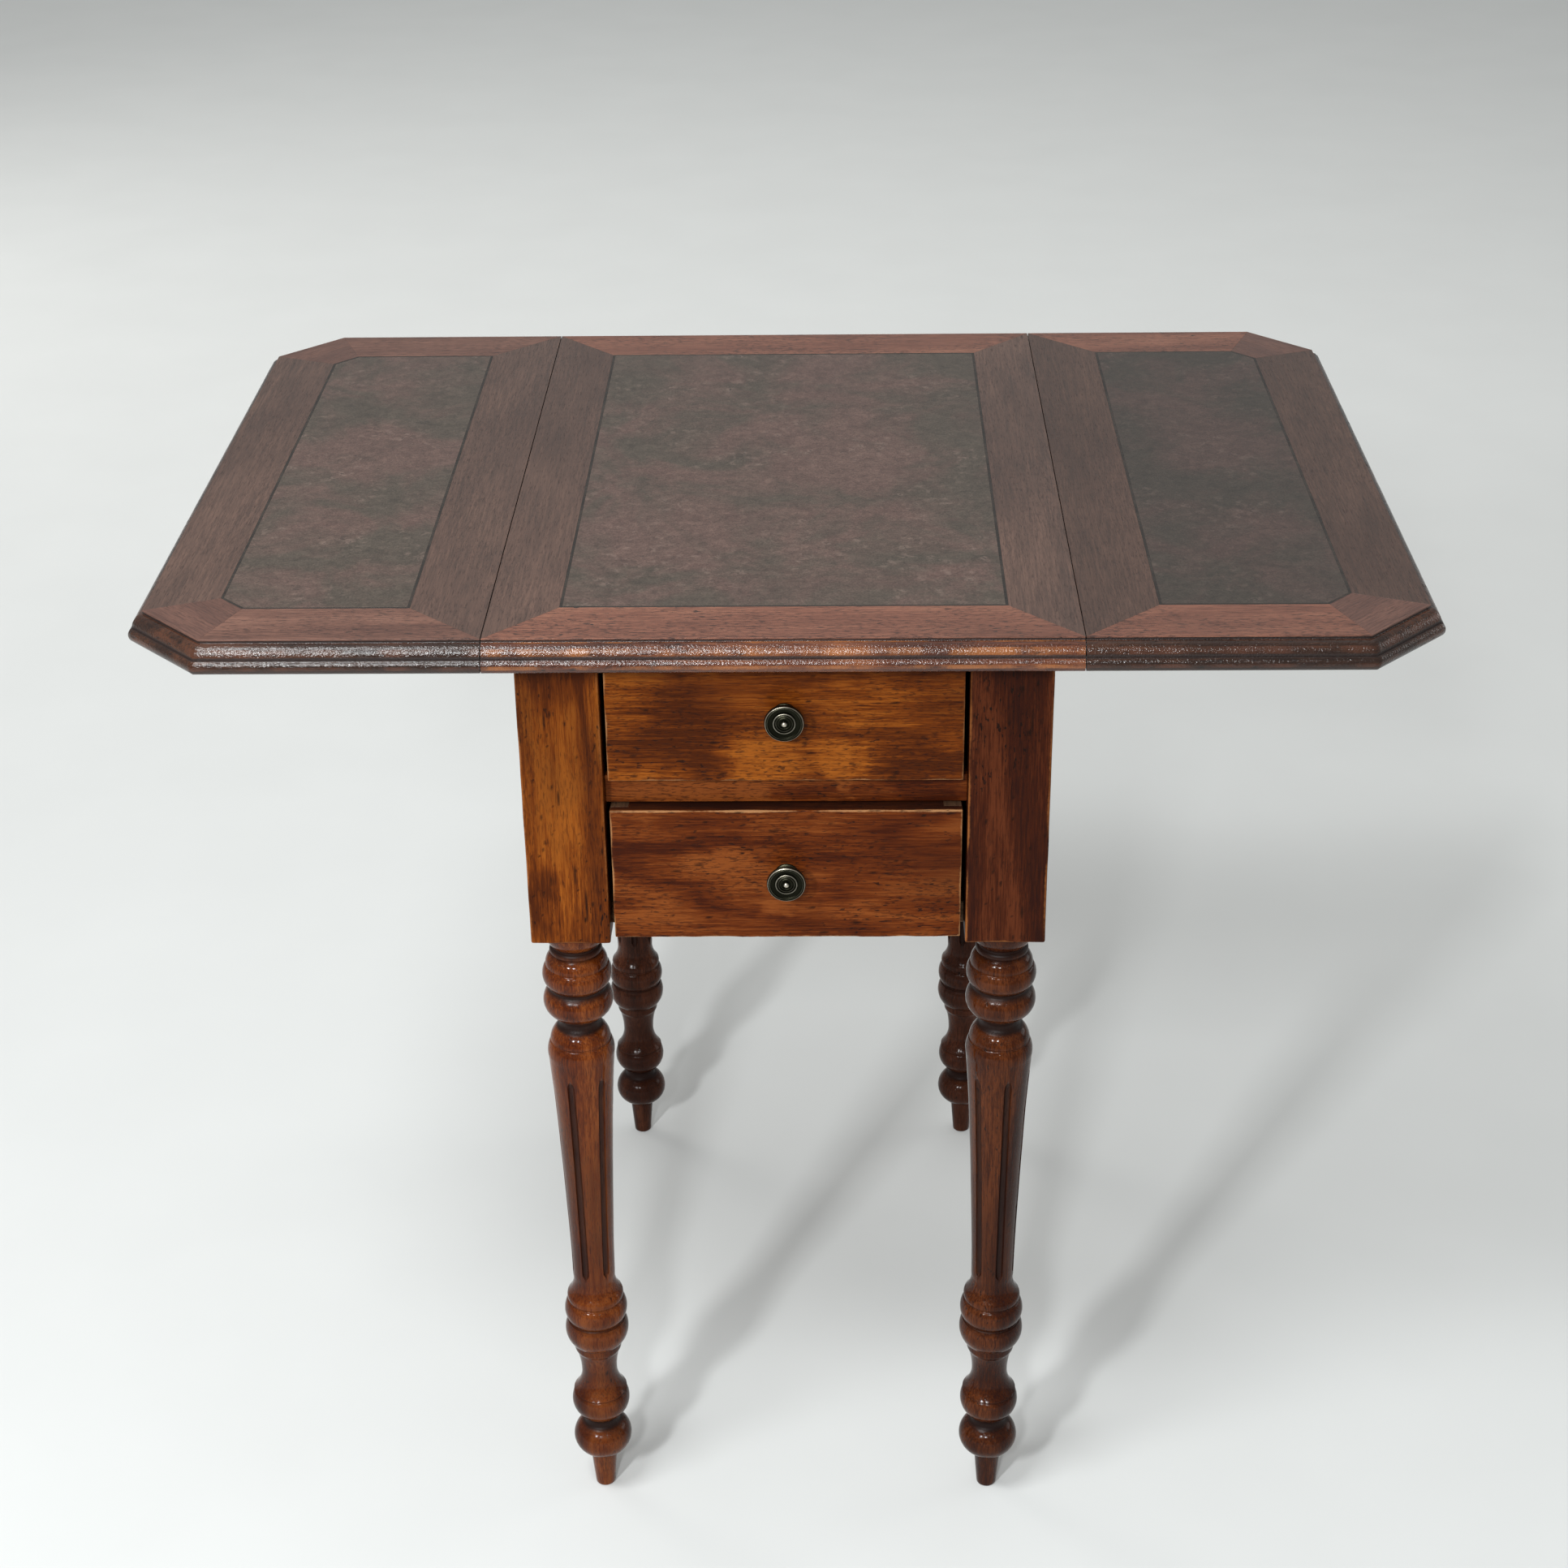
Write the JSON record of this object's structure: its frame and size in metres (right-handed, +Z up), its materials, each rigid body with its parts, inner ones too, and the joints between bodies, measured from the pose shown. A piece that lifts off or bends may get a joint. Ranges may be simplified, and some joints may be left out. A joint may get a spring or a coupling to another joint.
{
  "type": "drop-leaf sewing table",
  "caption": "Small wooden sewing table with turned fluted legs, a stack of drawers, banded burl top and two drop leaves on hinges held up by folding struts.",
  "frame": {"origin": "on the floor, under the centre of the open top", "axes": "+Z up; +X to the right along the open top's length; the drawer fronts face -Y"},
  "size_m": [0.84, 0.596, 0.74],
  "materials": {
    "leg_wood": "worn varnish",
    "carcass_wood": "worn varnish",
    "drawer_front_wood": "worn varnish",
    "top_edge_wood": "worn varnish",
    "banding_veneer": "satin polish",
    "burl_veneer": "satin polish",
    "dark_stringing": "satin polish",
    "drawer_lining_wood": "bare",
    "inner_wood": "bare",
    "bronzed_brass": "aged",
    "dark_iron": "aged"
  },
  "bodies": {
    "carcass": {"back_left_leg": "leg_wood", "back_panel": "carcass_wood", "back_right_leg": "leg_wood", "bottom_front_rail": "inner_wood", "centre_board": "top_edge_wood", "centre_burl_panel": "burl_veneer", "centre_end_bands": "banding_veneer", "centre_side_bands": "banding_veneer", "centre_stringing": "dark_stringing", "drawer_guides": "inner_wood", "drawer_stops": "inner_wood", "front_left_leg": "leg_wood", "front_right_leg": "leg_wood", "hinge_fixed_plates": "dark_iron", "hinge_fixed_screws": "dark_iron", "hinge_pins": "dark_iron", "left_side_panel": "carcass_wood", "lower_drawer_runners": "inner_wood", "middle_front_rail": "carcass_wood", "right_side_panel": "carcass_wood", "strut_bracket_screws": "dark_iron", "strut_brackets": "dark_iron", "strut_pins": "dark_iron", "top_cleats": "inner_wood", "top_front_rail": "inner_wood", "top_screws": "dark_iron", "upper_drawer_runners": "inner_wood"},
    "right_leaf": {"right_leaf_board": "top_edge_wood", "right_leaf_burl_panel": "burl_veneer", "right_leaf_corner_bands": "banding_veneer", "right_leaf_end_bands": "banding_veneer", "right_leaf_hinge_plates": "dark_iron", "right_leaf_screws": "dark_iron", "right_leaf_side_bands": "banding_veneer", "right_leaf_stringing": "dark_stringing", "right_leaf_strut_catches": "dark_iron"},
    "left_leaf": {"left_leaf_board": "top_edge_wood", "left_leaf_burl_panel": "burl_veneer", "left_leaf_corner_bands": "banding_veneer", "left_leaf_end_bands": "banding_veneer", "left_leaf_hinge_plates": "dark_iron", "left_leaf_screws": "dark_iron", "left_leaf_side_bands": "banding_veneer", "left_leaf_stringing": "dark_stringing", "left_leaf_strut_catches": "dark_iron"},
    "right_struts": {"right_leaf_struts": "dark_iron"},
    "left_struts": {"left_leaf_struts": "dark_iron"},
    "upper_drawer": {"upper_drawer_back": "drawer_lining_wood", "upper_drawer_bottom": "drawer_lining_wood", "upper_drawer_front": "drawer_front_wood", "upper_drawer_knob": "bronzed_brass", "upper_drawer_knob_nut": "bronzed_brass", "upper_drawer_sides": "drawer_lining_wood"},
    "lower_drawer": {"lower_drawer_back": "drawer_lining_wood", "lower_drawer_bottom": "drawer_lining_wood", "lower_drawer_front": "drawer_front_wood", "lower_drawer_knob": "bronzed_brass", "lower_drawer_knob_nut": "bronzed_brass", "lower_drawer_sides": "drawer_lining_wood"}
  },
  "joints": [
    {"name": "right_leaf_fold", "type": "hinge", "parent": "carcass", "child": "right_leaf", "pos_m": [0.1883, 0, 0.717], "axis": [0, 1, 0], "range_deg": [0, 90]},
    {"name": "left_leaf_fold", "type": "hinge", "parent": "carcass", "child": "left_leaf", "pos_m": [-0.1883, 0, 0.717], "axis": [0, -1, 0], "range_deg": [0, 90]},
    {"name": "right_strut_fold", "type": "hinge", "parent": "carcass", "child": "right_struts", "pos_m": [0.177, 0, 0.627], "axis": [0, 1, 0], "range_deg": [0, 135]},
    {"name": "left_strut_fold", "type": "hinge", "parent": "carcass", "child": "left_struts", "pos_m": [-0.177, 0, 0.627], "axis": [0, -1, 0], "range_deg": [0, 135]},
    {"name": "upper_drawer_slide", "type": "slide", "parent": "carcass", "child": "upper_drawer", "axis": [0, -1, 0], "range_m": [0, 0.36]},
    {"name": "lower_drawer_slide", "type": "slide", "parent": "carcass", "child": "lower_drawer", "axis": [0, -1, 0], "range_m": [0, 0.36]}
  ],
  "couplings": [
    {"joint": "right_strut_fold", "follows": "right_leaf_fold", "ratio": 1.5},
    {"joint": "left_strut_fold", "follows": "left_leaf_fold", "ratio": 1.5}
  ]
}
